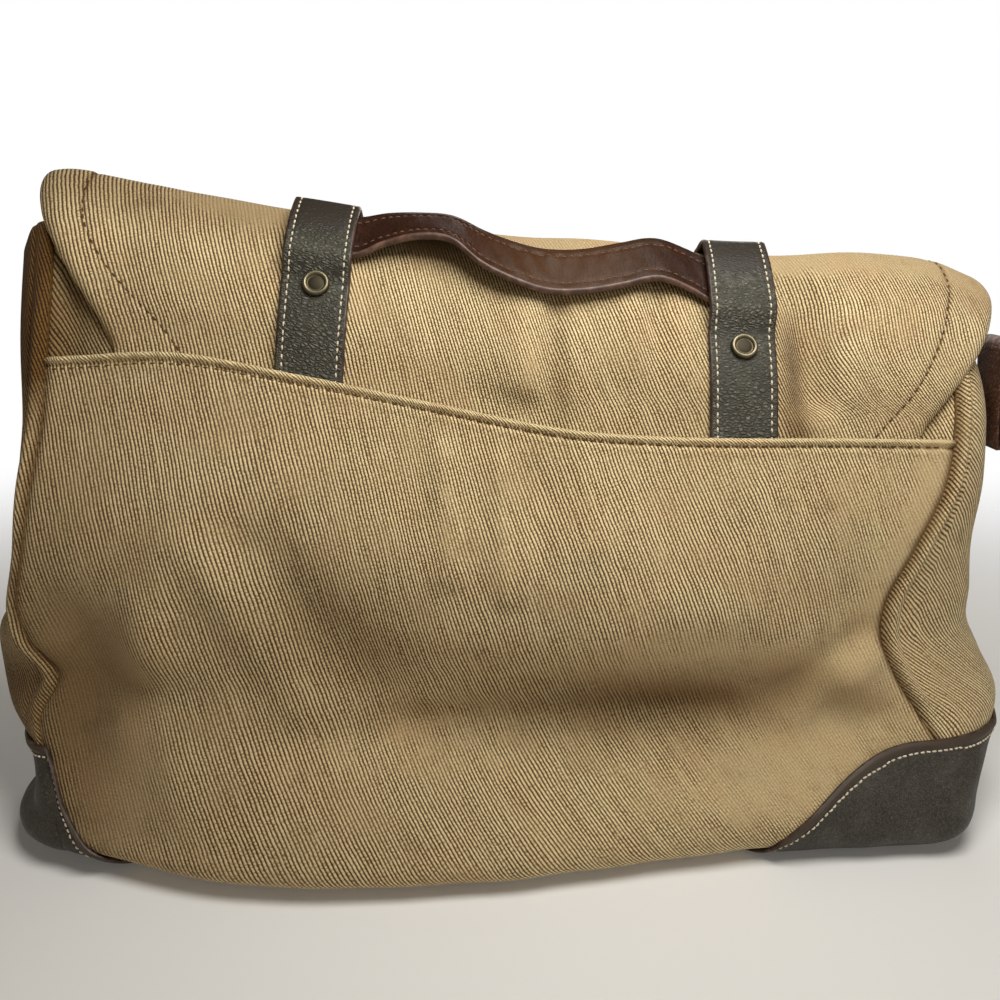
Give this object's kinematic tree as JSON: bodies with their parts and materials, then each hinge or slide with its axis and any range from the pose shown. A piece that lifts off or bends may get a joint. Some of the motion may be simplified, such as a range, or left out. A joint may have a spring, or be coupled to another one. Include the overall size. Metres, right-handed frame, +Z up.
{
  "type": "laptop bag",
  "caption": "Soft twill laptop bag standing slumped on its base, with a back slip pocket, a full flap, leather straps over it, a grab handle, bottom corner patches and side rings.",
  "frame": {"origin": "on the floor under the base, between the gussets", "axes": "+Z up, -Y towards the viewer of the slip-pocket side, +X to the right as seen from there"},
  "size_m": [0.4673, 0.15, 0.2863],
  "materials": {
    "twill": "washed heavy cotton twill, matt",
    "strap_leather": "dark olive-brown pebbled leather, satin, painted edges",
    "handle_leather": "chestnut smooth leather, glossy",
    "patch_leather": "dark brown pebbled leather, satin",
    "tab_leather": "reddish-brown leather, satin",
    "brass": "antique brass, aged"
  },
  "bodies": {
    "root": {"back_panel": "twill", "back_pocket": "twill", "gusset_left": "twill", "gusset_right": "twill", "front_panel": "twill", "base_panel": "twill", "flap": "twill", "strap_left": "strap_leather", "strap_right": "strap_leather", "rivet_left": "brass", "rivet_right": "brass", "handle": "handle_leather", "corner_patch_left": "patch_leather", "corner_patch_right": "patch_leather", "side_tab_left": "tab_leather", "side_tab_right": "tab_leather", "side_ring_left": "brass", "side_ring_right": "brass"}
  },
  "joints": []
}
